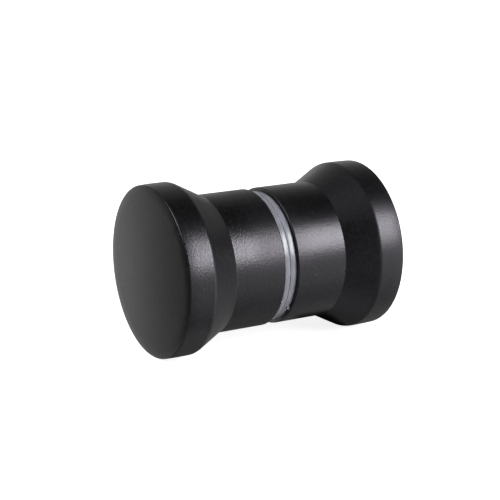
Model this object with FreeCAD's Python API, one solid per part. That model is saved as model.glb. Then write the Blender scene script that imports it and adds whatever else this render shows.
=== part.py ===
"""A back-to-back pull knob for a glass shower door.

Two turned knobs face each other across the door and draw together on one threaded stud.
A clear washer under each neck keeps the metal off the glass, and a clear bush lines the
hole that the stud passes through. The pair is modelled closed up, with no glass between.

The axis of the knobs is Y, as on an upright door whose glass lies in the XZ plane. The
outside knob is on -Y and the inside knob on +Y, with the origin midway between them.
"""

import FreeCAD, Part
import math
import os

# Knob, in millimetres
head_diameter = 30.0
neck_diameter = 24.2
neck_length = 9.6
flare_length = 5.5
rim_width = 4.8
flare_blend_radius = 1.5
rim_edge_radius = 0.45
neck_corner_radius = 0.4
neck_edge_radius = 0.25

# Washers between the necks and the glass
washer_thickness = 1.25
washer_setback = 0.6
washer_edge_radius = 0.15

# Threaded stud that joins the knobs
stud_diameter = 6.0
stud_length = 25.0
stud_end_chamfer = 0.7
hex_socket_across_flats = 3.0
hex_socket_depth = 3.5

# Bush that lines the hole in the glass
bush_diameter = 9.5
bush_length = 6.4
bush_edge_chamfer = 0.3

# Room left between the pieces
thread_clearance = 0.05
stud_end_clearance = 0.5
bush_bore_clearance = 0.15
bush_seat_clearance = 0.25
bush_end_clearance = 0.1

# Tools that cut the bore
drill_point_angle = 118.0
thread_lead_in = 0.4
bush_seat_edge_radius = 0.2

# Places worked out from the sizes above, measured along the axis from the glass plane
neck_face = washer_thickness
flare_start = neck_face + neck_length
rim_start = flare_start + flare_length
head_face = rim_start + rim_width
bush_seat_floor = bush_length / 2 + bush_end_clearance
thread_end = stud_length / 2 + stud_end_clearance

# Radii of the holes, each taken from the piece that goes through it
thread_radius = stud_diameter / 2 + thread_clearance
bush_seat_radius = bush_diameter / 2 + bush_seat_clearance
bush_bore_radius = stud_diameter / 2 + bush_bore_clearance

ORIGIN = FreeCAD.Vector(0, 0, 0)
AXIS = FreeCAD.Vector(0, 1, 0)
UP = FreeCAD.Vector(0, 0, 1)
SHARP = 0.0
LARGEST_SHARE_OF_RUN = 0.45


def corner_arc(before, corner, after, radius):
    """The start, middle and end of the arc that rounds a corner, limited by the runs beside it."""
    to_before = before - corner
    to_after = after - corner
    half_angle = to_before.getAngle(to_after) / 2
    room = LARGEST_SHARE_OF_RUN * min(to_before.Length, to_after.Length)
    setback = min(radius / math.tan(half_angle), room)
    fitted_radius = setback * math.tan(half_angle)
    to_before.normalize()
    to_after.normalize()
    bisector = (to_before + to_after).normalize()
    middle = corner + bisector * (fitted_radius / math.sin(half_angle) - fitted_radius)
    return corner + to_before * setback, middle, corner + to_after * setback


def turned(outline):
    """Turns a closed outline about the axis. Each corner is (radius, place on the axis, rounding)."""
    corners = [FreeCAD.Vector(radius, place, 0) for radius, place, rounding in outline]
    edges = []
    run_starts = []
    run_ends = []
    for index, (radius, place, rounding) in enumerate(outline):
        corner = corners[index]
        if rounding == SHARP:
            run_ends.append(corner)
            run_starts.append(corner)
            continue
        following = corners[(index + 1) % len(corners)]
        start, middle, end = corner_arc(corners[index - 1], corner, following, rounding)
        edges.append(Part.Arc(start, middle, end).toShape())
        run_ends.append(start)
        run_starts.append(end)
    for index, start in enumerate(run_starts):
        end = run_ends[(index + 1) % len(run_ends)]
        edges.append(Part.LineSegment(start, end).toShape())
    face = Part.Face(Part.Wire(Part.__sortEdges__(edges)))
    return face.revolve(ORIGIN, AXIS, 360)


def knob():
    """The inside knob: one turned piece, with a blind threaded hole and a seat for the bush."""
    drill_point = thread_radius / math.tan(math.radians(drill_point_angle / 2))
    return turned([
        (bush_seat_radius, neck_face, bush_seat_edge_radius),
        (neck_diameter / 2, neck_face, neck_edge_radius),
        (neck_diameter / 2, flare_start, neck_corner_radius),
        (head_diameter / 2, rim_start, flare_blend_radius),
        (head_diameter / 2, head_face, rim_edge_radius),
        (0, head_face, SHARP),
        (0, thread_end + drill_point, SHARP),
        (thread_radius, thread_end, SHARP),
        (thread_radius, bush_seat_floor + thread_lead_in, SHARP),
        (thread_radius + thread_lead_in, bush_seat_floor, SHARP),
        (bush_seat_radius, bush_seat_floor, SHARP),
    ])


def washer():
    """The washer under the inside knob's neck, from the glass plane to the neck's face."""
    outer_radius = neck_diameter / 2 - washer_setback
    return turned([
        (bush_seat_radius, 0, washer_edge_radius),
        (outer_radius, 0, washer_edge_radius),
        (outer_radius, washer_thickness, washer_edge_radius),
        (bush_seat_radius, washer_thickness, washer_edge_radius),
    ])


def bush():
    """The plain tube on the stud, with its ends in the seats of both knobs."""
    end = bush_length / 2
    outer_radius = bush_diameter / 2
    return turned([
        (bush_bore_radius, -end, SHARP),
        (outer_radius - bush_edge_chamfer, -end, SHARP),
        (outer_radius, -end + bush_edge_chamfer, SHARP),
        (outer_radius, end - bush_edge_chamfer, SHARP),
        (outer_radius - bush_edge_chamfer, end, SHARP),
        (bush_bore_radius, end, SHARP),
    ])


def joining_stud():
    """The headless screw that both knobs run on, with a hex socket in its inside end."""
    end = stud_length / 2
    radius = stud_diameter / 2
    shank = turned([
        (0, -end, SHARP),
        (radius - stud_end_chamfer, -end, SHARP),
        (radius, -end + stud_end_chamfer, SHARP),
        (radius, end - stud_end_chamfer, SHARP),
        (radius - stud_end_chamfer, end, SHARP),
        (0, end, SHARP),
    ])
    across_corners_radius = hex_socket_across_flats / 2 / math.cos(math.radians(30))
    socket_floor = end - hex_socket_depth
    corners = []
    for step in range(7):
        turn = math.radians(60 * step)
        x = across_corners_radius * math.cos(turn)
        z = across_corners_radius * math.sin(turn)
        corners.append(FreeCAD.Vector(x, socket_floor, z))
    hexagon = Part.Face(Part.makePolygon(corners))
    return shank.cut(hexagon.extrude(AXIS * hex_socket_depth))


def on_the_outside(piece):
    """A copy of an inside piece turned half round the upright, to the outside of the door."""
    copy = piece.copy()
    copy.rotate(ORIGIN, UP, 180)
    return copy


def main():
    nodes = {
        "outside_knob": on_the_outside(knob()),
        "inside_knob": knob(),
        "outside_washer": on_the_outside(washer()),
        "inside_washer": washer(),
        "joining_stud": joining_stud(),
        "hole_bush": bush(),
    }
    os.makedirs("parts", exist_ok=True)
    for name, shape in nodes.items():
        shape.exportStep(f"parts/{name}.step")
        print(name, "valid" if shape.isValid() else "not valid", f"{shape.Volume:.1f} mm3")


main()
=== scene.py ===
# %% [markdown]
# # A back-to-back pull knob for a glass shower door
# Two turned metal knobs with a satin black coat face each other across the door. A threaded
# stud draws them together, and a clear washer under each neck keeps the metal off the glass.
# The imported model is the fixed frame: it says where every piece is. This lesson dresses it.

# %% Load the fixed frame
import math

import bpy
from mathutils import Matrix, Quaternion, Vector


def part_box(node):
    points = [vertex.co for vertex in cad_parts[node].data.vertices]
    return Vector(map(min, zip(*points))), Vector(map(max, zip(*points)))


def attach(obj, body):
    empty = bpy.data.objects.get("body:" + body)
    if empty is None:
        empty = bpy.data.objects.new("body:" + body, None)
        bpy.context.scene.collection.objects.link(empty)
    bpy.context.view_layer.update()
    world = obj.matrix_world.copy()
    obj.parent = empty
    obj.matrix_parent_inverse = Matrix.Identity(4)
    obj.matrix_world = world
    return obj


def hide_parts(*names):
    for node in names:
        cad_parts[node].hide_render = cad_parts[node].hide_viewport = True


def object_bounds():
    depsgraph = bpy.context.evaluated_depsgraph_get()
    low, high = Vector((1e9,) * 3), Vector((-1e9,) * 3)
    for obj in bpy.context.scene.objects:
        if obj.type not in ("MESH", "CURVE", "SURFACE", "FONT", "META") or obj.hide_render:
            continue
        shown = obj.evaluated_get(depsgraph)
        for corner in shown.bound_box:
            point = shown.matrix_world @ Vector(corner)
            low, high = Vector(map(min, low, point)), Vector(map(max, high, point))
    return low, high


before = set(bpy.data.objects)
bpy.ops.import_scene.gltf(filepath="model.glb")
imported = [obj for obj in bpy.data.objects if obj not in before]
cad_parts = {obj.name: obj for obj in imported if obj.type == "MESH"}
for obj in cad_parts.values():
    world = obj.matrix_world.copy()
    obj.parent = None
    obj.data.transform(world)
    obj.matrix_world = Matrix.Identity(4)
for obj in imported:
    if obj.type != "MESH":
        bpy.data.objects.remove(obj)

cad_low, cad_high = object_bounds()
MM = 0.001


def in_mm(sides):
    return [round(side / MM, 2) for side in sides]


print("the frame holds", sorted(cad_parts), "in a box of", in_mm(cad_high - cad_low), "mm")

# %% [markdown]
# ## Growing node trees in a script
# Every piece here was turned on a lathe or follows a rule, so a few sizes describe it whole.
# Geometry Nodes suits that: a tree with one named input for each size can be opened later and
# changed by hand. Two helpers keep the trees short. The first adds one node and feeds its
# sockets, in any kind of tree. The second starts a tree whose inputs are the sizes of a piece.

# %% Helpers for node trees
CRISP_EDGE_DEGREES = 30.0


def add_node(tree, kind, feeds=None, **options):
    """Adds a node, sets its options, and feeds its sockets with other sockets or plain values."""
    node = tree.nodes.new(kind)
    for option, choice in options.items():
        setattr(node, option, choice)
    for socket, source in (feeds or {}).items():
        if isinstance(source, bpy.types.NodeSocket):
            tree.links.new(source, node.inputs[socket])
        else:
            node.inputs[socket].default_value = source
    return node


class Recipe:
    """A Geometry Nodes tree that makes one kind of piece from its named sizes."""

    def __init__(self, name, sizes):
        self.tree = bpy.data.node_groups.new(name, "GeometryNodeTree")
        interface = self.tree.interface
        for label, size in sizes.items():
            kind = "NodeSocketInt" if isinstance(size, int) else "NodeSocketFloat"
            interface.new_socket(label, in_out="INPUT", socket_type=kind)
        interface.new_socket("Finish", in_out="INPUT", socket_type="NodeSocketMaterial")
        interface.new_socket("Piece", in_out="OUTPUT", socket_type="NodeSocketGeometry")
        self.size = self.tree.nodes.new("NodeGroupInput").outputs

    def add(self, kind, feeds=None, **options):
        """Adds a node and returns its first output."""
        return add_node(self.tree, kind, feeds, **options).outputs[0]

    def math(self, operation, first, second=0.0):
        return self.add("ShaderNodeMath", {0: first, 1: second}, operation=operation)

    def half(self, value):
        return self.math("MULTIPLY", value, 0.5)

    def point(self, x=0.0, y=0.0, z=0.0):
        return self.add("ShaderNodeCombineXYZ", {"X": x, "Y": y, "Z": z})

    def pick(self, data_type, choices):
        """One of the choices for each point, by the point's own number."""
        node = add_node(self.tree, "GeometryNodeIndexSwitch", data_type=data_type)
        while len(node.index_switch_items) < len(choices):
            node.index_switch_items.new()
        self.tree.links.new(self.add("GeometryNodeInputIndex"), node.inputs["Index"])
        for number, choice in enumerate(choices):
            if isinstance(choice, bpy.types.NodeSocket):
                self.tree.links.new(choice, node.inputs[str(number)])
            else:
                node.inputs[str(number)].default_value = choice
        return node.outputs[0]

    def place(self, shape, turn=(0, 0, 0), move=(0, 0, 0)):
        """Turns a shape about the origin, then moves it."""
        feeds = {"Geometry": shape, "Rotation": turn, "Translation": move}
        return self.add("GeometryNodeTransform", feeds)

    def serve(self, shape):
        """Ends the tree: crisp edges stay crisp, the finish goes on, and the piece goes out."""
        angle = self.add("GeometryNodeInputMeshEdgeAngle")
        soft = self.math("LESS_THAN", angle, math.radians(CRISP_EDGE_DEGREES))
        shading = "GeometryNodeSetShadeSmooth"
        shape = self.add(shading, {"Geometry": shape, "Shade Smooth": True})
        shape = self.add(shading, {"Geometry": shape, "Shade Smooth": soft}, domain="EDGE")
        shape = self.add("GeometryNodeRealizeInstances", {"Geometry": shape})
        finish = {"Geometry": shape, "Material": self.size["Finish"]}
        shape = self.add("GeometryNodeSetMaterial", finish)
        add_node(self.tree, "NodeGroupOutput", {"Piece": shape})
        return self.tree


print("edges sharper than", CRISP_EDGE_DEGREES, "degrees are shaded crisp")

# %% [markdown]
# ## A lathe made of nodes
# A lathe needs an outline and an axis. Blender's Screw modifier could spin a drawn outline, but
# then every corner radius would be drawn by hand. Here the outline is only its corners: the
# Fillet Curve node rounds each one by its own radius, and Curve to Mesh carries the outline
# round a circle. The profile's X grows away from the circle's centre, so the circle's own
# radius is taken off first. Where the outline meets the axis, Merge by Distance closes the pole.

# %% The lathe
LATHE_PATH_RADIUS = 10 * MM
POLE_GAP = 0.001 * MM
QUARTER_TURN = math.radians(90)
CRISP = 0.0


def turn_on_lathe(recipe, corners, closed):
    """Turns an outline about Y. Each corner is (radius, place along Y, rounding)."""
    points = []
    for radius, place, rounding in corners:
        out = recipe.math("SUBTRACT", radius, LATHE_PATH_RADIUS)
        points.append(recipe.point(out, place))
    where = recipe.pick("VECTOR", points)
    how_round = recipe.pick("FLOAT", [rounding for radius, place, rounding in corners])
    steps = recipe.size["Rounding Steps"]
    line = recipe.add("GeometryNodeMeshLine", {"Count": len(corners)})
    line = recipe.add("GeometryNodeSetPosition", {"Geometry": line, "Position": where})
    outline = recipe.add("GeometryNodeMeshToCurve", {"Mesh": line})
    outline = recipe.add("GeometryNodeSetSplineCyclic", {"Geometry": outline, "Cyclic": closed})
    fillet = {"Curve": outline, "Count": steps, "Radius": how_round, "Limit Radius": True}
    outline = recipe.add("GeometryNodeFilletCurve", fillet, mode="POLY")
    path = {"Resolution": recipe.size["Facets"], "Radius": LATHE_PATH_RADIUS}
    path = recipe.add("GeometryNodeCurvePrimitiveCircle", path, mode="RADIUS")
    shape = recipe.add("GeometryNodeCurveToMesh", {"Curve": path, "Profile Curve": outline})
    shape = recipe.add("GeometryNodeMergeByDistance", {"Geometry": shape, "Distance": POLE_GAP})
    return recipe.place(shape, turn=(QUARTER_TURN, 0, 0))


print("the lathe turns outlines about Y and closes gaps under", POLE_GAP / MM, "mm")

# %% [markdown]
# ## From a tree to a finished piece
# The modifier that runs a tree takes each size by its socket's identifier. Weighted Normal then
# lets the large faces set the shading beside the small roundings, so flats look flat. The result
# is copied to a plain mesh, because only plain meshes ride on the frame and go into the export.
# The outside pieces are the inside ones turned half round the upright, as on the real door.

# %% Finished pieces
def make_piece(name, tree, sizes, finish, half_turns=0):
    """Runs a tree with these sizes and keeps the result as a plain mesh at the origin."""
    piece = bpy.data.objects.new(name, bpy.data.meshes.new(name))
    bpy.context.scene.collection.objects.link(piece)
    build = piece.modifiers.new("build", "NODES")
    build.node_group = tree
    values = {**sizes, "Finish": finish}
    for socket in tree.interface.items_tree:
        if socket.in_out == "INPUT":
            build[socket.identifier] = values[socket.name]
    piece.modifiers.new("shading", "WEIGHTED_NORMAL").keep_sharp = True
    evaluated = piece.evaluated_get(bpy.context.evaluated_depsgraph_get())
    mesh = bpy.data.meshes.new_from_object(evaluated)
    piece.modifiers.clear()
    mesh.transform(Matrix.Rotation(math.pi * half_turns, 4, "Z"))
    mesh.name = name
    piece.data = mesh
    print(name, "has", len(mesh.polygons), "faces and measures", in_mm(piece.dimensions), "mm")
    return piece


def fit_piece(piece, node):
    """Puts a piece on the frame: it rides on the handle and stands for a node, which is hidden."""
    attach(piece, "root")
    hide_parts(node)


print("finished pieces are plain meshes at the origin")

# %% [markdown]
# ## Patterns for the finishes
# All finishes here are patterns in Object coordinates, in metres, so a scale of 1000 gives
# marks about a millimetre apart. They stay fixed to the piece from any side. Noise values
# crowd round one half, so a Map Range spreads the middle of them over the range that is wanted.
# A second Map Range, with a smooth step, fades one value into another along the piece.

# %% Patterns fixed to the piece
NOISE_LOW, NOISE_HIGH = 0.3, 0.7


def new_finish(name):
    """A material with a Principled shader, its tree, and the place on the piece to read."""
    material = bpy.data.materials.new(name)
    material.use_nodes = True
    tree = material.node_tree
    place = add_node(tree, "ShaderNodeTexCoord").outputs["Object"]
    return material, tree, tree.nodes["Principled BSDF"], place


def noise(tree, place, marks_per_metre, detail=2.0):
    feeds = {"Vector": place, "Scale": marks_per_metre, "Detail": detail}
    return add_node(tree, "ShaderNodeTexNoise", feeds).outputs["Fac"]


def spread(tree, value, low, high):
    """A noise value, spread from low to high."""
    feeds = {"Value": value, "From Min": NOISE_LOW, "From Max": NOISE_HIGH}
    feeds.update({"To Min": low, "To Max": high})
    return add_node(tree, "ShaderNodeMapRange", feeds).outputs["Result"]


def ramp(tree, value, start, end, low, high):
    """A smooth step: low up to the start, high from the end on."""
    feeds = {"Value": value, "From Min": start, "From Max": end, "To Min": low, "To Max": high}
    node = add_node(tree, "ShaderNodeMapRange", feeds, interpolation_type="SMOOTHSTEP")
    return node.outputs["Result"]


print("noise from", NOISE_LOW, "to", NOISE_HIGH, "is spread over each range")

# %% [markdown]
# ## From patterns to a shader
# A finish takes three things from its patterns: a colour, a roughness and a surface. A Mix node
# gives a colour between two others. It keeps a set of sockets for each kind of value under the
# same names, so the ones for colour are taken by number. A Bump node tilts the light without
# moving the surface, which suits marks that are far too fine for the mesh.

# %% Colour, roughness and surface
MIX_SHARE, MIX_FIRST, MIX_SECOND, MIX_COLOUR = 0, 6, 7, 2


def combine(tree, operation, first, second=0.0):
    """One step of arithmetic on one value or two."""
    return add_node(tree, "ShaderNodeMath", {0: first, 1: second}, operation=operation).outputs[0]


def blend(tree, share, first, second):
    """A colour between two others."""
    feeds = {MIX_SHARE: share, MIX_FIRST: first, MIX_SECOND: second}
    return add_node(tree, "ShaderNodeMix", feeds, data_type="RGBA").outputs[MIX_COLOUR]


def bumpy(tree, height, depth, over=None):
    """A bump as deep as given, on top of another bump where there is one."""
    feeds = {"Height": height, "Distance": depth, "Strength": 1.0}
    if over:
        feeds["Normal"] = over
    return add_node(tree, "ShaderNodeBump", feeds).outputs["Normal"]


def dress(tree, shader, tone, gloss, surface):
    """Gives a finish its colour, its roughness and its surface."""
    for socket, source in (("Base Color", tone), ("Roughness", gloss), ("Normal", surface)):
        tree.links.new(source, shader.inputs[socket])


print("each finish is a tone, a gloss and a surface")

# %% [markdown]
# ## Satin black coat: the grain
# The knobs have a baked powder coat: nearly black and half matt, with a grain a third of a
# millimetre wide that only shows where light catches it. A picture of the grain would need
# unwrapping and would repeat. Here two noises as bump give the grain and a wider orange peel
# under it. The coat lies flatter on rim and face than on the neck, so the depth of the grain is
# read from the distance to the glass.

# %% The coat's surface
GRAIN_PER_METRE = 3000
GRAIN_DEPTH_NECK, GRAIN_DEPTH_RIM = 0.028 * MM, 0.019 * MM
NECK_PART, RIM_PART = 9 * MM, 17 * MM
PEEL_PER_METRE = 900
PEEL_DEPTH = 0.008 * MM


def coat_surface(tree, place, along, grain):
    """Grain over orange peel, deepest on the necks."""
    from_glass = combine(tree, "ABSOLUTE", along)
    depth = ramp(tree, from_glass, NECK_PART, RIM_PART, GRAIN_DEPTH_NECK, GRAIN_DEPTH_RIM)
    peel = bumpy(tree, noise(tree, place, PEEL_PER_METRE), PEEL_DEPTH)
    return bumpy(tree, grain, depth, over=peel)


print("the coat has grain", round(1 / GRAIN_PER_METRE / MM, 2), "mm wide")

# %% [markdown]
# ## Satin black coat: the gloss
# Powder lands unevenly. Beside the washers, most of all on the outside neck, and again on the
# inside rim the coat is a little drier, so the lamp's stripe is wider and weaker there. One
# roughness for the whole knob would draw the same stripe all along it. Here the roughness
# follows the grain, and smooth ramps along the handle add the dry parts.

# %% The coat's gloss
COAT_GLOSSY, COAT_DULL = 0.30, 0.35
DRY_FROM, DRY_TO = (-8 * MM, -4.5 * MM), (-1 * MM, 6 * MM)
DRY_DULLER = 0.07
DRY_RIM = 11 * MM, 17 * MM
DRY_RIM_DULLER = 0.035


def coat_gloss(tree, along, grain):
    """A roughness that follows the grain and is higher where the coat is dry."""
    starts = ramp(tree, along, *DRY_FROM, 0.0, DRY_DULLER)
    ends = ramp(tree, along, *DRY_TO, 1.0, 0.0)
    by_washers = combine(tree, "MULTIPLY", starts, ends)
    on_rim = ramp(tree, along, *DRY_RIM, 0.0, DRY_RIM_DULLER)
    gloss = combine(tree, "ADD", spread(tree, grain, COAT_GLOSSY, COAT_DULL), by_washers)
    return combine(tree, "ADD", gloss, on_rim)


print("the coat's roughness runs from", COAT_GLOSSY, "to", COAT_DULL + DRY_DULLER)

# %% [markdown]
# ## Satin black coat: the tone
# The black is cloudy on the scale of a millimetre, and a few pale specks of dust are baked in. A
# noise makes the clouds. A Voronoi pattern scatters points through space, and where the surface
# passes close to one of them it gets a speck. What the coat mirrors has a faint violet tint, as
# in the photograph.

# %% The coat
CLOUDS_PER_METRE = 1400
CLOUD_DETAIL = 3.0
COAT_DARK = (0.0008, 0.0008, 0.0008, 1)
COAT_PALE = (0.0059, 0.0056, 0.0063, 1)
COAT_SHEEN = (1.0, 0.955, 1.06, 1)
SPECKS_PER_METRE = 420
SPECK_SHARE_OF_CELL = 0.035
SPECK_COLOUR = (0.10, 0.10, 0.105, 1)


def coat_tone(tree, place):
    """Cloudy black with specks."""
    clouds = noise(tree, place, CLOUDS_PER_METRE, CLOUD_DETAIL)
    tone = blend(tree, spread(tree, clouds, 0.0, 1.0), COAT_DARK, COAT_PALE)
    cells = {"Vector": place, "Scale": SPECKS_PER_METRE}
    to_speck = add_node(tree, "ShaderNodeTexVoronoi", cells).outputs["Distance"]
    speck = combine(tree, "LESS_THAN", to_speck, SPECK_SHARE_OF_CELL)
    return blend(tree, speck, tone, SPECK_COLOUR)


def satin_black_coat():
    material, tree, shader, place = new_finish("satin_black_coat")
    along = add_node(tree, "ShaderNodeSeparateXYZ", {"Vector": place}).outputs["Y"]
    grain = noise(tree, place, GRAIN_PER_METRE)
    gloss = coat_gloss(tree, along, grain)
    surface = coat_surface(tree, place, along, grain)
    dress(tree, shader, coat_tone(tree, place), gloss, surface)
    shader.inputs["Specular Tint"].default_value = COAT_SHEEN
    return material


coat = satin_black_coat()
print(coat.name, "has", len(coat.node_tree.nodes), "nodes")

# %% [markdown]
# ## Clear plastic
# The washers and the bush are moulded from clear soft plastic, which looks bluish grey and a
# little milky against the black necks. Pure glass would only show black. Part transmission over
# a cloudy grey body colour gives the milky look, and a middling roughness spreads the lamp's
# image, as the soft skin of such plastic does.

# %% The plastic
PLASTIC_DARK = (0.33, 0.334, 0.387, 1)
PLASTIC_PALE = (0.455, 0.463, 0.53, 1)
PLASTIC_CLOUDS_PER_METRE = 350
PLASTIC_GLOSSY, PLASTIC_DULL = 0.20, 0.27
PLASTIC_WAVES_PER_METRE = 500
PLASTIC_WAVE_DEPTH = 0.004 * MM
PLASTIC_IOR = 1.46
PLASTIC_CLEARNESS = 0.4


def clear_plastic():
    material, tree, shader, place = new_finish("clear_plastic")
    clouds = noise(tree, place, PLASTIC_CLOUDS_PER_METRE)
    waves = noise(tree, place, PLASTIC_WAVES_PER_METRE)
    tone = blend(tree, spread(tree, clouds, 0.0, 1.0), PLASTIC_DARK, PLASTIC_PALE)
    gloss = spread(tree, waves, PLASTIC_GLOSSY, PLASTIC_DULL)
    dress(tree, shader, tone, gloss, bumpy(tree, waves, PLASTIC_WAVE_DEPTH))
    shader.inputs["IOR"].default_value = PLASTIC_IOR
    shader.inputs["Transmission Weight"].default_value = PLASTIC_CLEARNESS
    return material


plastic = clear_plastic()
print(plastic.name, "bends light by", PLASTIC_IOR)

# %% [markdown]
# ## Plated steel
# The stud is a bright plated screw. Plating is metal, so the shader is fully metallic. Scratches
# could be drawn one by one, but a fine noise drawn out along the screw is enough for the marks
# that thread rolling leaves.

# %% The steel
STEEL_DARK = (0.50, 0.50, 0.485, 1)
STEEL_BRIGHT = (0.68, 0.68, 0.66, 1)
STEEL_MARKS_PER_METRE = 4000
STEEL_GLOSSY, STEEL_DULL = 0.2, 0.34
STEEL_MARK_DEPTH = 0.006 * MM
STEEL_DRAWN_OUT = (1.0, 0.15, 1.0)


def plated_steel():
    material, tree, shader, place = new_finish("plated_steel")
    drawn = add_node(tree, "ShaderNodeMapping", {"Vector": place, "Scale": STEEL_DRAWN_OUT})
    marks = noise(tree, drawn.outputs["Vector"], STEEL_MARKS_PER_METRE)
    tone = blend(tree, spread(tree, marks, 0.0, 1.0), STEEL_DARK, STEEL_BRIGHT)
    gloss = spread(tree, marks, STEEL_GLOSSY, STEEL_DULL)
    dress(tree, shader, tone, gloss, bumpy(tree, marks, STEEL_MARK_DEPTH))
    shader.inputs["Metallic"].default_value = 1.0
    return material


steel = plated_steel()
print(steel.name, "has marks", round(1 / STEEL_MARKS_PER_METRE / MM, 2), "mm wide")

# %% [markdown]
# ## The knobs
# Each knob is one turned piece: a straight neck that the washer sits on, a flare, a rim and a
# flat end face. Inside the neck are a seat for the bush and a blind threaded hole with the cone
# that a drill leaves. Where rim and face meet, the coat rolls off by a few hundredths of a
# millimetre, enough to bend the light along that edge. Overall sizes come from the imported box,
# and the rest repeats the part's own dimensions.

# %% Sizes of a knob
STUD_END_ROOM = 0.5 * MM
knob_low, knob_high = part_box("inside_knob")
stud_low, stud_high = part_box("joining_stud")
knob_sizes = {
    "Head Diameter": knob_high.x - knob_low.x,
    "Head Face": knob_high.y,
    "Neck Face": knob_low.y,
    "Neck Diameter": 24.2 * MM,
    "Neck Length": 9.6 * MM,
    "Rim Width": 4.8 * MM,
    "Flare Blend": 1.5 * MM,
    "Rim Edge": 0.3 * MM,
    "Edge Roll Width": 1.7 * MM,
    "Edge Roll Drop": 0.06 * MM,
    "Edge Roll Blend": 25.0 * MM,
    "Neck Corner": 0.4 * MM,
    "Neck Edge": 0.25 * MM,
    "Bush Seat Diameter": 10.0 * MM,
    "Bush Seat Depth": 2.05 * MM,
    "Bush Seat Edge": 0.2 * MM,
    "Thread Diameter": 6.1 * MM,
    "Thread End": stud_high.y + STUD_END_ROOM,
    "Thread Lead-in": 0.4 * MM,
    "Drill Point": 1.83 * MM,
    "Facets": 192,
    "Rounding Steps": 8,
}
print("a knob is", in_mm(knob_high - knob_low), "mm")

# %% [markdown]
# ## Turning the knobs
# The whole knob is an outline of thirteen corners on one side of the axis. It starts at the tip
# of the drill's cone and runs through the hole, over neck, flare and rim, to the middle of the
# end face, so the lathe closes both poles. It could be modelled from a cylinder with loops and
# bevels, but then a new neck or rim means doing it again. One tree serves both knobs, and the
# outside one is turned half round.

# %% The knob's tree
def knob_recipe():
    recipe = Recipe("turned_knob", knob_sizes)
    size = recipe.size
    head = recipe.half(size["Head Diameter"])
    neck = recipe.half(size["Neck Diameter"])
    seat = recipe.half(size["Bush Seat Diameter"])
    thread = recipe.half(size["Thread Diameter"])
    thread_mouth = recipe.math("ADD", thread, size["Thread Lead-in"])
    drill_tip = recipe.math("ADD", size["Thread End"], size["Drill Point"])
    seat_floor = recipe.math("ADD", size["Neck Face"], size["Bush Seat Depth"])
    thread_start = recipe.math("ADD", seat_floor, size["Thread Lead-in"])
    flare_start = recipe.math("ADD", size["Neck Face"], size["Neck Length"])
    rim_start = recipe.math("SUBTRACT", size["Head Face"], size["Rim Width"])
    flat_rim = recipe.math("SUBTRACT", size["Head Face"], size["Edge Roll Width"])
    flat_face = recipe.math("SUBTRACT", head, size["Edge Roll Width"])
    edge_out = recipe.math("SUBTRACT", head, size["Edge Roll Drop"])
    edge_along = recipe.math("SUBTRACT", size["Head Face"], size["Edge Roll Drop"])
    corners = [
        (0.0, drill_tip, CRISP),
        (thread, size["Thread End"], CRISP),
        (thread, thread_start, CRISP),
        (thread_mouth, seat_floor, CRISP),
        (seat, seat_floor, CRISP),
        (seat, size["Neck Face"], size["Bush Seat Edge"]),
        (neck, size["Neck Face"], size["Neck Edge"]),
        (neck, flare_start, size["Neck Corner"]),
        (head, rim_start, size["Flare Blend"]),
        (head, flat_rim, size["Edge Roll Blend"]),
        (edge_out, edge_along, size["Rim Edge"]),
        (flat_face, size["Head Face"], size["Edge Roll Blend"]),
        (0.0, size["Head Face"], CRISP),
    ]
    return recipe.serve(turn_on_lathe(recipe, corners, closed=False))


knob_tree = knob_recipe()
inside_knob = make_piece("knob_inside", knob_tree, knob_sizes, coat)
outside_knob = make_piece("knob_outside", knob_tree, knob_sizes, coat, half_turns=1)
fit_piece(inside_knob, "inside_knob")
fit_piece(outside_knob, "outside_knob")

# %% [markdown]
# ## The washers
# A washer is a flat ring, a little smaller than the neck, with its edges just broken so that a
# fine dark line shows where the two rings meet. Plastic enters the mould through a gate, and
# where the gate is cut off a small nub is left on the ring. The nub has sizes of its own, and a
# turn that puts it anywhere round the ring.

# %% Sizes of a washer
washer_low, washer_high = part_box("inside_washer")
washer_sizes = {
    "Outer Diameter": washer_high.x - washer_low.x,
    "Thickness": washer_high.y - washer_low.y,
    "Bore": knob_sizes["Bush Seat Diameter"],
    "Edge": 0.15 * MM,
    "Gate Length": 0.75 * MM,
    "Gate Width": 0.4 * MM,
    "Gate Height": 0.22 * MM,
    "Gate Place": 0.95 * MM,
    "Gate Cut": math.radians(-22),
    "Gate Turn": math.radians(38),
    "Facets": 192,
    "Rounding Steps": 4,
}
outside_washer_sizes = {**washer_sizes, "Gate Turn": math.radians(150)}
print("a washer is", in_mm(washer_high - washer_low), "mm")

# %% [markdown]
# ## Turning the washers
# The ring comes off the lathe, and the nub is a small block cut at a slant. Pushed into the ring,
# the block would leave hidden faces inside clear plastic, where they would show. A Mesh Boolean
# joins the two into one skin. The outside washer's nub is where the photograph can't show it.

# %% The washer's tree
def washer_recipe():
    recipe = Recipe("clear_washer", washer_sizes)
    size = recipe.size
    outer = recipe.half(size["Outer Diameter"])
    bore = recipe.half(size["Bore"])
    edge, thickness = size["Edge"], size["Thickness"]
    corners = [
        (bore, 0.0, edge),
        (outer, 0.0, edge),
        (outer, thickness, edge),
        (bore, thickness, edge),
    ]
    ring = turn_on_lathe(recipe, corners, closed=True)
    standing = recipe.math("MULTIPLY", size["Gate Height"], 2.0)
    block = recipe.point(standing, size["Gate Width"], size["Gate Length"])
    nub = recipe.add("GeometryNodeMeshCube", {"Size": block})
    nub = recipe.place(nub, turn=recipe.point(0.0, size["Gate Cut"], 0.0))
    nub = recipe.place(nub, move=recipe.point(outer, size["Gate Place"], 0.0))
    nub = recipe.place(nub, turn=recipe.point(0.0, size["Gate Turn"], 0.0))
    join = add_node(recipe.tree, "GeometryNodeMeshBoolean", operation="UNION", solver="EXACT")
    for shape in (nub, ring):
        recipe.tree.links.new(shape, join.inputs["Mesh 2"])
    return recipe.serve(join.outputs["Mesh"])


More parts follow.
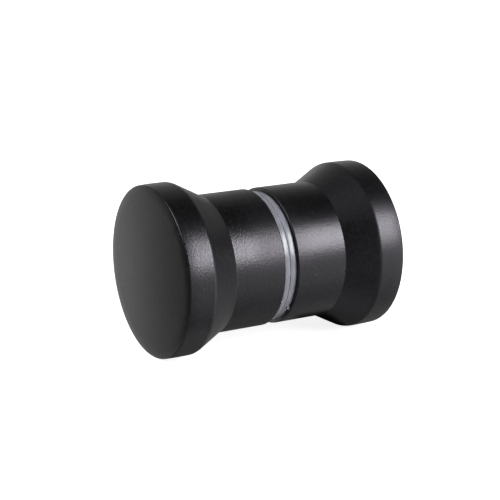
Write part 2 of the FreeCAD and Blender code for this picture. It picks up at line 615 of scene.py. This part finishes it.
washer_tree = washer_recipe()
inside_washer = make_piece("washer_inside", washer_tree, washer_sizes, plastic)
outside_washer = make_piece("washer_outside", washer_tree, outside_washer_sizes, plastic, half_turns=1)
fit_piece(inside_washer, "inside_washer")
fit_piece(outside_washer, "outside_washer")

# %% [markdown]
# ## The bush
# The bush is a plain clear tube on the stud that lines the hole in the glass. Its ends are
# chamfered so that they find the seats in both necks. The same lathe turns it.

# %% The bush
bush_low, bush_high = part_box("hole_bush")
bush_sizes = {
    "Outer Diameter": bush_high.x - bush_low.x,
    "End": bush_high.y,
    "Bore": 6.3 * MM,
    "Chamfer": 0.3 * MM,
    "Facets": 96,
    "Rounding Steps": 1,
}


def bush_recipe():
    recipe = Recipe("clear_bush", bush_sizes)
    size = recipe.size
    outer = recipe.half(size["Outer Diameter"])
    bore = recipe.half(size["Bore"])
    chamfered = recipe.math("SUBTRACT", outer, size["Chamfer"])
    end = size["End"]
    start = recipe.math("MULTIPLY", end, -1.0)
    corners = [
        (bore, start, CRISP),
        (chamfered, start, CRISP),
        (outer, recipe.math("ADD", start, size["Chamfer"]), CRISP),
        (outer, recipe.math("SUBTRACT", end, size["Chamfer"]), CRISP),
        (chamfered, end, CRISP),
        (bore, end, CRISP),
    ]
    return recipe.serve(turn_on_lathe(recipe, corners, closed=True))


bush = make_piece("bush", bush_recipe(), bush_sizes, plastic)
fit_piece(bush, "hole_bush")

# %% [markdown]
# ## The threaded stud
# Both knobs run on a headless M6 screw with a pitch of one millimetre and, in one end, a
# six-sided socket for the key that holds it while the knobs are drawn up. The thread is hidden
# once they are, but the part may be taken apart in a picture, so it is made in full.

# %% Sizes of the stud
stud_sizes = {
    "Diameter": stud_high.x - stud_low.x,
    "Length": stud_high.y - stud_low.y,
    "Pitch": 1.0 * MM,
    "Thread Depth": 0.54 * MM,
    "End Chamfer": 0.7 * MM,
    "Socket Across Flats": 3.0 * MM,
    "Socket Depth": 3.5 * MM,
    "Facets": 36,
    "Rings": 400,
}
CREST_SHARE = 0.125
FLANK_SHARE = 0.625
KEY_SIDES = 6
print("the stud has", round(stud_sizes["Length"] / stud_sizes["Pitch"]), "turns of thread")

# %% [markdown]
# ## Cutting the thread
# A thread follows one rule: go round once and move along by one pitch. It could be a profile
# swept along a helix, but then the ends and the root need joining. Here a cylinder with many
# rings is enough: every point reads its angle and its place, works out how far it is from the
# crest, and moves in by that much. Chamfered ends are the smaller of two radii, and a six-sided
# prism cuts the socket for the key.

# %% The stud's tree
def thread_radius(recipe):
    """How far each point of the stud is from its axis."""
    size = recipe.size
    place = add_node(recipe.tree, "ShaderNodeSeparateXYZ")
    recipe.tree.links.new(recipe.add("GeometryNodeInputPosition"), place.inputs[0])
    turns = recipe.math("ARCTAN2", place.outputs["Y"], place.outputs["X"])
    turns = recipe.math("DIVIDE", turns, math.tau)
    along = recipe.math("DIVIDE", place.outputs["Z"], size["Pitch"])
    share = recipe.math("FRACT", recipe.math("SUBTRACT", along, turns))
    to_crest = recipe.math("SUBTRACT", recipe.math("MULTIPLY", share, 2.0), 1.0)
    to_crest = recipe.math("ABSOLUTE", to_crest)
    flank = {"Value": to_crest, "From Min": CREST_SHARE, "From Max": CREST_SHARE + FLANK_SHARE}
    flank = recipe.add("ShaderNodeMapRange", flank)
    radius = recipe.half(size["Diameter"])
    cut = recipe.math("MULTIPLY", flank, size["Thread Depth"])
    to_end = recipe.math("ABSOLUTE", place.outputs["Z"])
    to_end = recipe.math("SUBTRACT", recipe.half(size["Length"]), to_end)
    end_radius = recipe.math("SUBTRACT", radius, size["End Chamfer"])
    end_radius = recipe.math("ADD", end_radius, to_end)
    return recipe.math("MINIMUM", recipe.math("SUBTRACT", radius, cut), end_radius)


def stud_recipe():
    """A shank of radius one, scaled at each point to the thread, with the socket cut in its end."""
    recipe = Recipe("threaded_stud", stud_sizes)
    size = recipe.size
    shank = {"Vertices": size["Facets"], "Side Segments": size["Rings"]}
    shank.update({"Radius": 1.0, "Depth": size["Length"]})
    shank = recipe.add("GeometryNodeMeshCylinder", shank)
    radius = thread_radius(recipe)
    here = recipe.add("GeometryNodeInputPosition")
    scale = recipe.point(radius, radius, 1.0)
    feeds = {0: here, 1: scale}
    there = recipe.add("ShaderNodeVectorMath", feeds, operation="MULTIPLY")
    shank = recipe.add("GeometryNodeSetPosition", {"Geometry": shank, "Position": there})
    across_corners = recipe.math("DIVIDE", size["Socket Across Flats"], math.sqrt(3))
    key = {"Vertices": KEY_SIDES, "Radius": across_corners}
    key["Depth"] = recipe.math("MULTIPLY", size["Socket Depth"], 2.0)
    key = recipe.add("GeometryNodeMeshCylinder", key)
    key = recipe.place(key, move=recipe.point(0.0, 0.0, recipe.half(size["Length"])))
    cut = {"Mesh 1": shank, "Mesh 2": key}
    cut = recipe.add("GeometryNodeMeshBoolean", cut, operation="DIFFERENCE", solver="EXACT")
    return recipe.serve(recipe.place(cut, turn=(-QUARTER_TURN, 0, 0)))


stud = make_piece("stud", stud_recipe(), stud_sizes, steel)
fit_piece(stud, "joining_stud")

# %% [markdown]
# ## A paper floor
# The handle lies on white paper. Light Path tells the rays apart: to the camera, and through
# the clear washers, the paper glows a little, so it stays white and keeps only a soft shadow.
# The glow grows with the distance, because the lamps light the far paper less. Mirrored rays go
# through the paper, since a flat sheet so near would draw hard edges in the coat, and the room
# below stands for the table instead.

# %% The floor
FLOOR_SIDE = 4.0
PAPER_WHITE = (0.85, 0.85, 0.85, 1)
PAPER_GLOW_NEAR, PAPER_GLOW_FAR = 0.82, 1.0
PAPER_GLOW_REACH = 150 * MM


def camera_sees(tree, rays):
    """One for a ray that comes from the camera, straight or through clear plastic."""
    return combine(tree, "MAXIMUM", rays["Is Camera Ray"], rays["Is Transmission Ray"])


def white_paper():
    material, tree, shader, place = new_finish("white_paper")
    tree.nodes.remove(shader)
    lit = add_node(tree, "ShaderNodeBsdfDiffuse", {"Color": PAPER_WHITE}).outputs[0]
    away = add_node(tree, "ShaderNodeVectorMath", {0: place}, operation="LENGTH").outputs["Value"]
    glow = {"Value": away, "From Max": PAPER_GLOW_REACH}
    glow.update({"To Min": PAPER_GLOW_NEAR, "To Max": PAPER_GLOW_FAR})
    glow = add_node(tree, "ShaderNodeMapRange", glow).outputs["Result"]
    seen = camera_sees(tree, add_node(tree, "ShaderNodeLightPath").outputs)
    glow = combine(tree, "MULTIPLY", glow, seen)
    glow = add_node(tree, "ShaderNodeEmission", {"Strength": glow}).outputs[0]
    both = add_node(tree, "ShaderNodeAddShader", {0: lit, 1: glow}).outputs[0]
    tree.links.new(both, tree.nodes["Material Output"].inputs["Surface"])
    return material


def stage_sheet(name, corners, finish):
    """A flat sheet of the stage, which isn't part of the handle."""
    mesh = bpy.data.meshes.new(name)
    mesh.from_pydata(corners, [], [range(len(corners))])
    mesh.materials.append(finish)
    sheet = bpy.data.objects.new(name, mesh)
    bpy.context.scene.collection.objects.link(sheet)
    return sheet


def lying(corner, opposite):
    """The corners of an oblong that lies at the height of the floor."""
    (x, y), (far_x, far_y) = corner, opposite
    places = (x, y), (far_x, y), (far_x, far_y), (x, far_y)
    return [(*place, cad_low.z) for place in places]


reach = FLOOR_SIDE / 2
floor = stage_sheet("floor", lying((-reach, -reach), (reach, reach)), white_paper())
floor.visible_glossy = False
print("the floor lies at", round(cad_low.z / MM, 2), "mm")

# %% [markdown]
# ## The room that the coat mirrors
# The world stands for the room round the table. A black coat shows little but what it mirrors,
# and in a room white all round it would look grey. So the mirrored room is dim, with a few pale
# sides: the side that the main lamp lights, the backdrop behind, and a white wall on the left.
# They fade towards overhead, and towards straight down, where the handle shades its own table.
# Smaller patches add single reflections, and everything is paler towards the far end. A picture
# wrapped round the world could do the same. Here each place is worked out from the direction of
# the ray, so it can be moved or dimmed by one number.

# %% The mirrored room
ROOM_DIM = 0.10
# Each place has a name, the way to it, the cosines at its edge and its middle, and a paleness.
ROOM_SIDES = (
    ("lamp side", (0.85, 0.5, -0.17), 0.55, 0.98, 0.88),
    ("camera side", (0.9, -0.43, 0.0), 0.55, 1.0, 0.06),
    ("behind", (-0.9, 0.35, 0.25), 0.9, 1.0, 0.7),
    ("left wall", (-0.9, -0.43, 0.0), 0.5, 1.0, 1.64),
)
ROOM_PATCHES = (
    ("back lamp", (-0.75, 0.1, 0.65), 0.82, 1.0, 0.5),
    ("far wall", (-0.35, 0.85, 0.4), 0.88, 1.0, 0.15),
    ("over the camera", (0.14, -0.31, 0.94), 0.75, 1.0, 0.55),
    ("far table", (0.0, 0.75, -0.65), 0.78, 1.0, 0.19),
    ("table below", (0.0, 0.0, -1.0), 0.6, 1.0, 0.16),
    ("near table", (0.45, -0.35, -0.82), 0.7, 1.0, 0.22),
    ("front wall", (0.35, -0.92, -0.2), 0.8, 1.0, 0.68),
    ("under the flare", (0.1, -0.25, -0.96), 0.8, 1.0, 0.25),
    ("table behind", (-0.72, 0.48, -0.5), 0.9, 1.0, 0.12),
)
# These are parts of the ray's direction, upwards and towards the far end, with the share there.
ROOM_TOP_START, ROOM_TOP, ROOM_TOP_SHARE = 0.0, 0.62, 0.05
ROOM_FOOT_START, ROOM_FOOT, ROOM_FOOT_SHARE = -0.2, -0.95, 0.6
ROOM_NEAR, ROOM_NEAR_SHARE = 0.45, 0.66
ROOM_FAR, ROOM_FAR_SHARE = 0.57, 1.55


def pale_places(tree, ray, places, level):
    """Adds places that are pale where a ray points their way."""
    for name, direction, edge, middle, pale in places:
        facing = {0: ray, 1: direction}
        facing = add_node(tree, "ShaderNodeVectorMath", facing, operation="DOT_PRODUCT")
        place = ramp(tree, facing.outputs["Value"], edge, middle, 0.0, pale)
        level = combine(tree, "ADD", place, level)
    return level


def mirrored_room(tree):
    """How bright the room is in the direction of a ray."""
    ray = add_node(tree, "ShaderNodeTexCoord").outputs["Generated"]
    along = add_node(tree, "ShaderNodeSeparateXYZ", {"Vector": ray}).outputs
    level = pale_places(tree, ray, ROOM_SIDES, ROOM_DIM)
    top = ramp(tree, along["Z"], ROOM_TOP_START, ROOM_TOP, 1.0, ROOM_TOP_SHARE)
    foot = ramp(tree, along["Z"], ROOM_FOOT, ROOM_FOOT_START, ROOM_FOOT_SHARE, 1.0)
    level = combine(tree, "MULTIPLY", combine(tree, "MULTIPLY", level, top), foot)
    level = pale_places(tree, ray, ROOM_PATCHES, level)
    far = ramp(tree, along["Y"], ROOM_NEAR, ROOM_FAR, ROOM_NEAR_SHARE, ROOM_FAR_SHARE)
    return combine(tree, "MULTIPLY", level, far)


print("the mirrored room has", len(ROOM_SIDES), "sides and", len(ROOM_PATCHES), "patches")

# %% [markdown]
# ## One world for three kinds of ray
# Light Path tells the kinds of ray apart. The camera, also through the washers, sees the white
# backdrop. Mirrored rays see the dim room. All other rays, which light the surfaces, get one
# even dim level, so the paper and the plastic are lit softly from all round.

# %% The world
ROOM_EVEN = 0.22
BACKDROP_WHITE = 1.0


def either(tree, share, first, second):
    """The first value where the share is zero, and the second where it is one."""
    return add_node(tree, "ShaderNodeMix", {"Factor": share, "A": first, "B": second}).outputs[0]


def studio_room():
    world = bpy.data.worlds.new("studio")
    world.use_nodes = True
    tree = world.node_tree
    rays = add_node(tree, "ShaderNodeLightPath").outputs
    level = either(tree, rays["Is Glossy Ray"], ROOM_EVEN, mirrored_room(tree))
    level = either(tree, camera_sees(tree, rays), level, BACKDROP_WHITE)
    sky = tree.nodes["Background"]
    sky.inputs["Color"].default_value = (1, 1, 1, 1)
    tree.links.new(level, sky.inputs["Strength"])
    return world


bpy.context.scene.world = studio_room()
print("surfaces get an even level of", ROOM_EVEN, "from the room")

# %% [markdown]
# ## Cards
# The flat end face would mirror the left wall as one even grey. In a studio, a black card stands
# beside such a face, just out of the picture and leaning a little, so that the face fades from
# pale on its left to dark on its right. A second black card under the far flare is painted
# shade: it stands for the shadow that the handle throws on the table there. A slip of paper
# beside the near head is painted light: it glows like the table that the main lamp lights, and
# its painted glow is dimmer towards the head. They are sheets that only mirrored rays can see,
# so they throw no shadow and put no light on the floor.

# %% The cards
CARD_BLACK = (0.02, 0.02, 0.02, 1)
CARD_FOOT = ((-35.9 * MM, -38.3 * MM, -34 * MM), (-1 * MM, -110 * MM, -34 * MM))
CARD_TOP = ((-1 * MM, -110 * MM, 25 * MM), (-36.8 * MM, -36.4 * MM, 25 * MM))
# Corners of the lying card, a black sheet of painted shade under the far flare.
SHADE_NEAR, SHADE_FAR = (4 * MM, 8 * MM), (-14 * MM, 17 * MM)
# The slip is painted light for the lit table, its glow painted darker towards the head.
SLIP_NEAR, SLIP_FAR = (3 * MM, -21 * MM), (17 * MM, -13 * MM)
SLIP_SHADE_AT, SLIP_LIGHT_AT = 4 * MM, 15 * MM
SLIP_PAINTED_SHADE, SLIP_PAINTED_LIGHT = 0.10, 0.42


def card_finish(name):
    """Matt black card, with what a glow on it needs."""
    material, tree, shader, place = new_finish(name)
    shader.inputs["Base Color"].default_value = CARD_BLACK
    shader.inputs["Roughness"].default_value = 1.0
    return material, tree, shader, place


def pale_slip():
    """Painted light for the lit table: a slip that glows more towards the main lamp, darker near the
    head.
    """
    material, tree, shader, place = card_finish("painted_lit_paper")
    across = add_node(tree, "ShaderNodeSeparateXYZ", {"Vector": place}).outputs["X"]
    glow = ramp(tree, across, SLIP_SHADE_AT, SLIP_LIGHT_AT, SLIP_PAINTED_SHADE, SLIP_PAINTED_LIGHT)
    shader.inputs["Emission Color"].default_value = (1, 1, 1, 1)
    tree.links.new(glow, shader.inputs["Emission Strength"])
    return material


def mirrored_card(name, corners, finish):
    """A card that only mirrored rays can see."""
    card = stage_sheet(name, corners, finish)
    card.visible_camera = False
    card.visible_diffuse = False
    card.visible_transmission = False
    card.visible_shadow = False
    print(name, "measures", in_mm(card.dimensions), "mm")


black_card = card_finish("black_card")[0]
mirrored_card("standing_card", CARD_FOOT + CARD_TOP, black_card)
# A black sheet of painted shade, where the handle shades the table under the far flare.
mirrored_card("painted_shade_card", lying(SHADE_NEAR, SHADE_FAR), black_card)
# A glowing sheet of painted light, for the table that the main lamp lights beside the near head.
mirrored_card("painted_lit_paper", lying(SLIP_NEAR, SLIP_FAR), pale_slip())

# %% [markdown]
# ## The lamps
# One softbox on the right gives the bright stripe along the necks and rims. It is turned a
# little about its own beam, which slants the ends of the stripe as in the photograph. A weaker
# one in front of the near end draws the thin line on the edge of its face. Area lamps are set
# here by how bright they look, because that is what a coat mirrors.

# %% Softboxes
def softbox(name, direction, distance, width, height, radiance, tilt=0):
    """A soft lamp that faces the handle, as bright as the radiance says, unseen by the camera."""
    lamp = bpy.data.lights.new(name, "AREA")
    lamp.shape = "RECTANGLE"
    lamp.size, lamp.size_y = width, height
    lamp.energy = radiance * math.pi * width * height
    box = bpy.data.objects.new(name, lamp)
    towards = Vector(direction).normalized()
    box.location = towards * distance
    tilted = Quaternion((0, 0, 1), math.radians(tilt))
    box.rotation_euler = (towards.to_track_quat("Z", "Y") @ tilted).to_euler()
    box.visible_camera = False
    bpy.context.scene.collection.objects.link(box)
    print(name, "gives", round(lamp.energy, 2), "W from", in_mm(box.location), "mm")


softbox(
    "key",
    direction=(0.745, 0.510, 0.441),
    distance=400 * MM,
    width=105 * MM,
    height=230 * MM,
    radiance=18.4,
    tilt=-25,
)
softbox(
    "edge_light",
    direction=(-0.05, -0.75, 0.65),
    distance=400 * MM,
    width=200 * MM,
    height=200 * MM,
    radiance=5.5,
)

# %% [markdown]
# ## The camera
# The camera stands where the photograph was taken from: low, in front of the near end and to
# the right of it. Its direction, distance and lens were fitted to the edges of the knobs in the
# photograph, so the render can be laid over it.

# %% The camera
AZIMUTH, ELEVATION = math.radians(60.035), math.radians(14.906)
DISTANCE = 265.65 * MM
AIM_RIGHT, AIM_UP = -1.198 * MM, 1.103 * MM
IMAGE_SIDE = 500
FOCAL_PIXELS = 1503.6
SENSOR = 36.0


def studio_camera():
    lens = bpy.data.cameras.new("camera")
    lens.sensor_width = SENSOR
    lens.lens = FOCAL_PIXELS * SENSOR / IMAGE_SIDE
    lens.clip_start = 10 * MM
    flat = math.cos(ELEVATION)
    right = Vector((math.cos(AZIMUTH), math.sin(AZIMUTH), 0))
    back = Vector((math.sin(AZIMUTH) * flat, -math.cos(AZIMUTH) * flat, math.sin(ELEVATION)))
    up = back.cross(right)
    camera = bpy.data.objects.new("camera", lens)
    stand = back * DISTANCE + right * AIM_RIGHT + up * AIM_UP
    camera.matrix_world = Matrix.Translation(stand) @ Matrix((right, up, back)).transposed().to_4x4()
    bpy.context.scene.collection.objects.link(camera)
    return camera


camera = studio_camera()
bpy.context.scene.camera = camera
bpy.context.scene.view_settings.view_transform = "Standard"
print("the camera has a", round(camera.data.lens, 1), "mm lens, at", in_mm(camera.location), "mm")
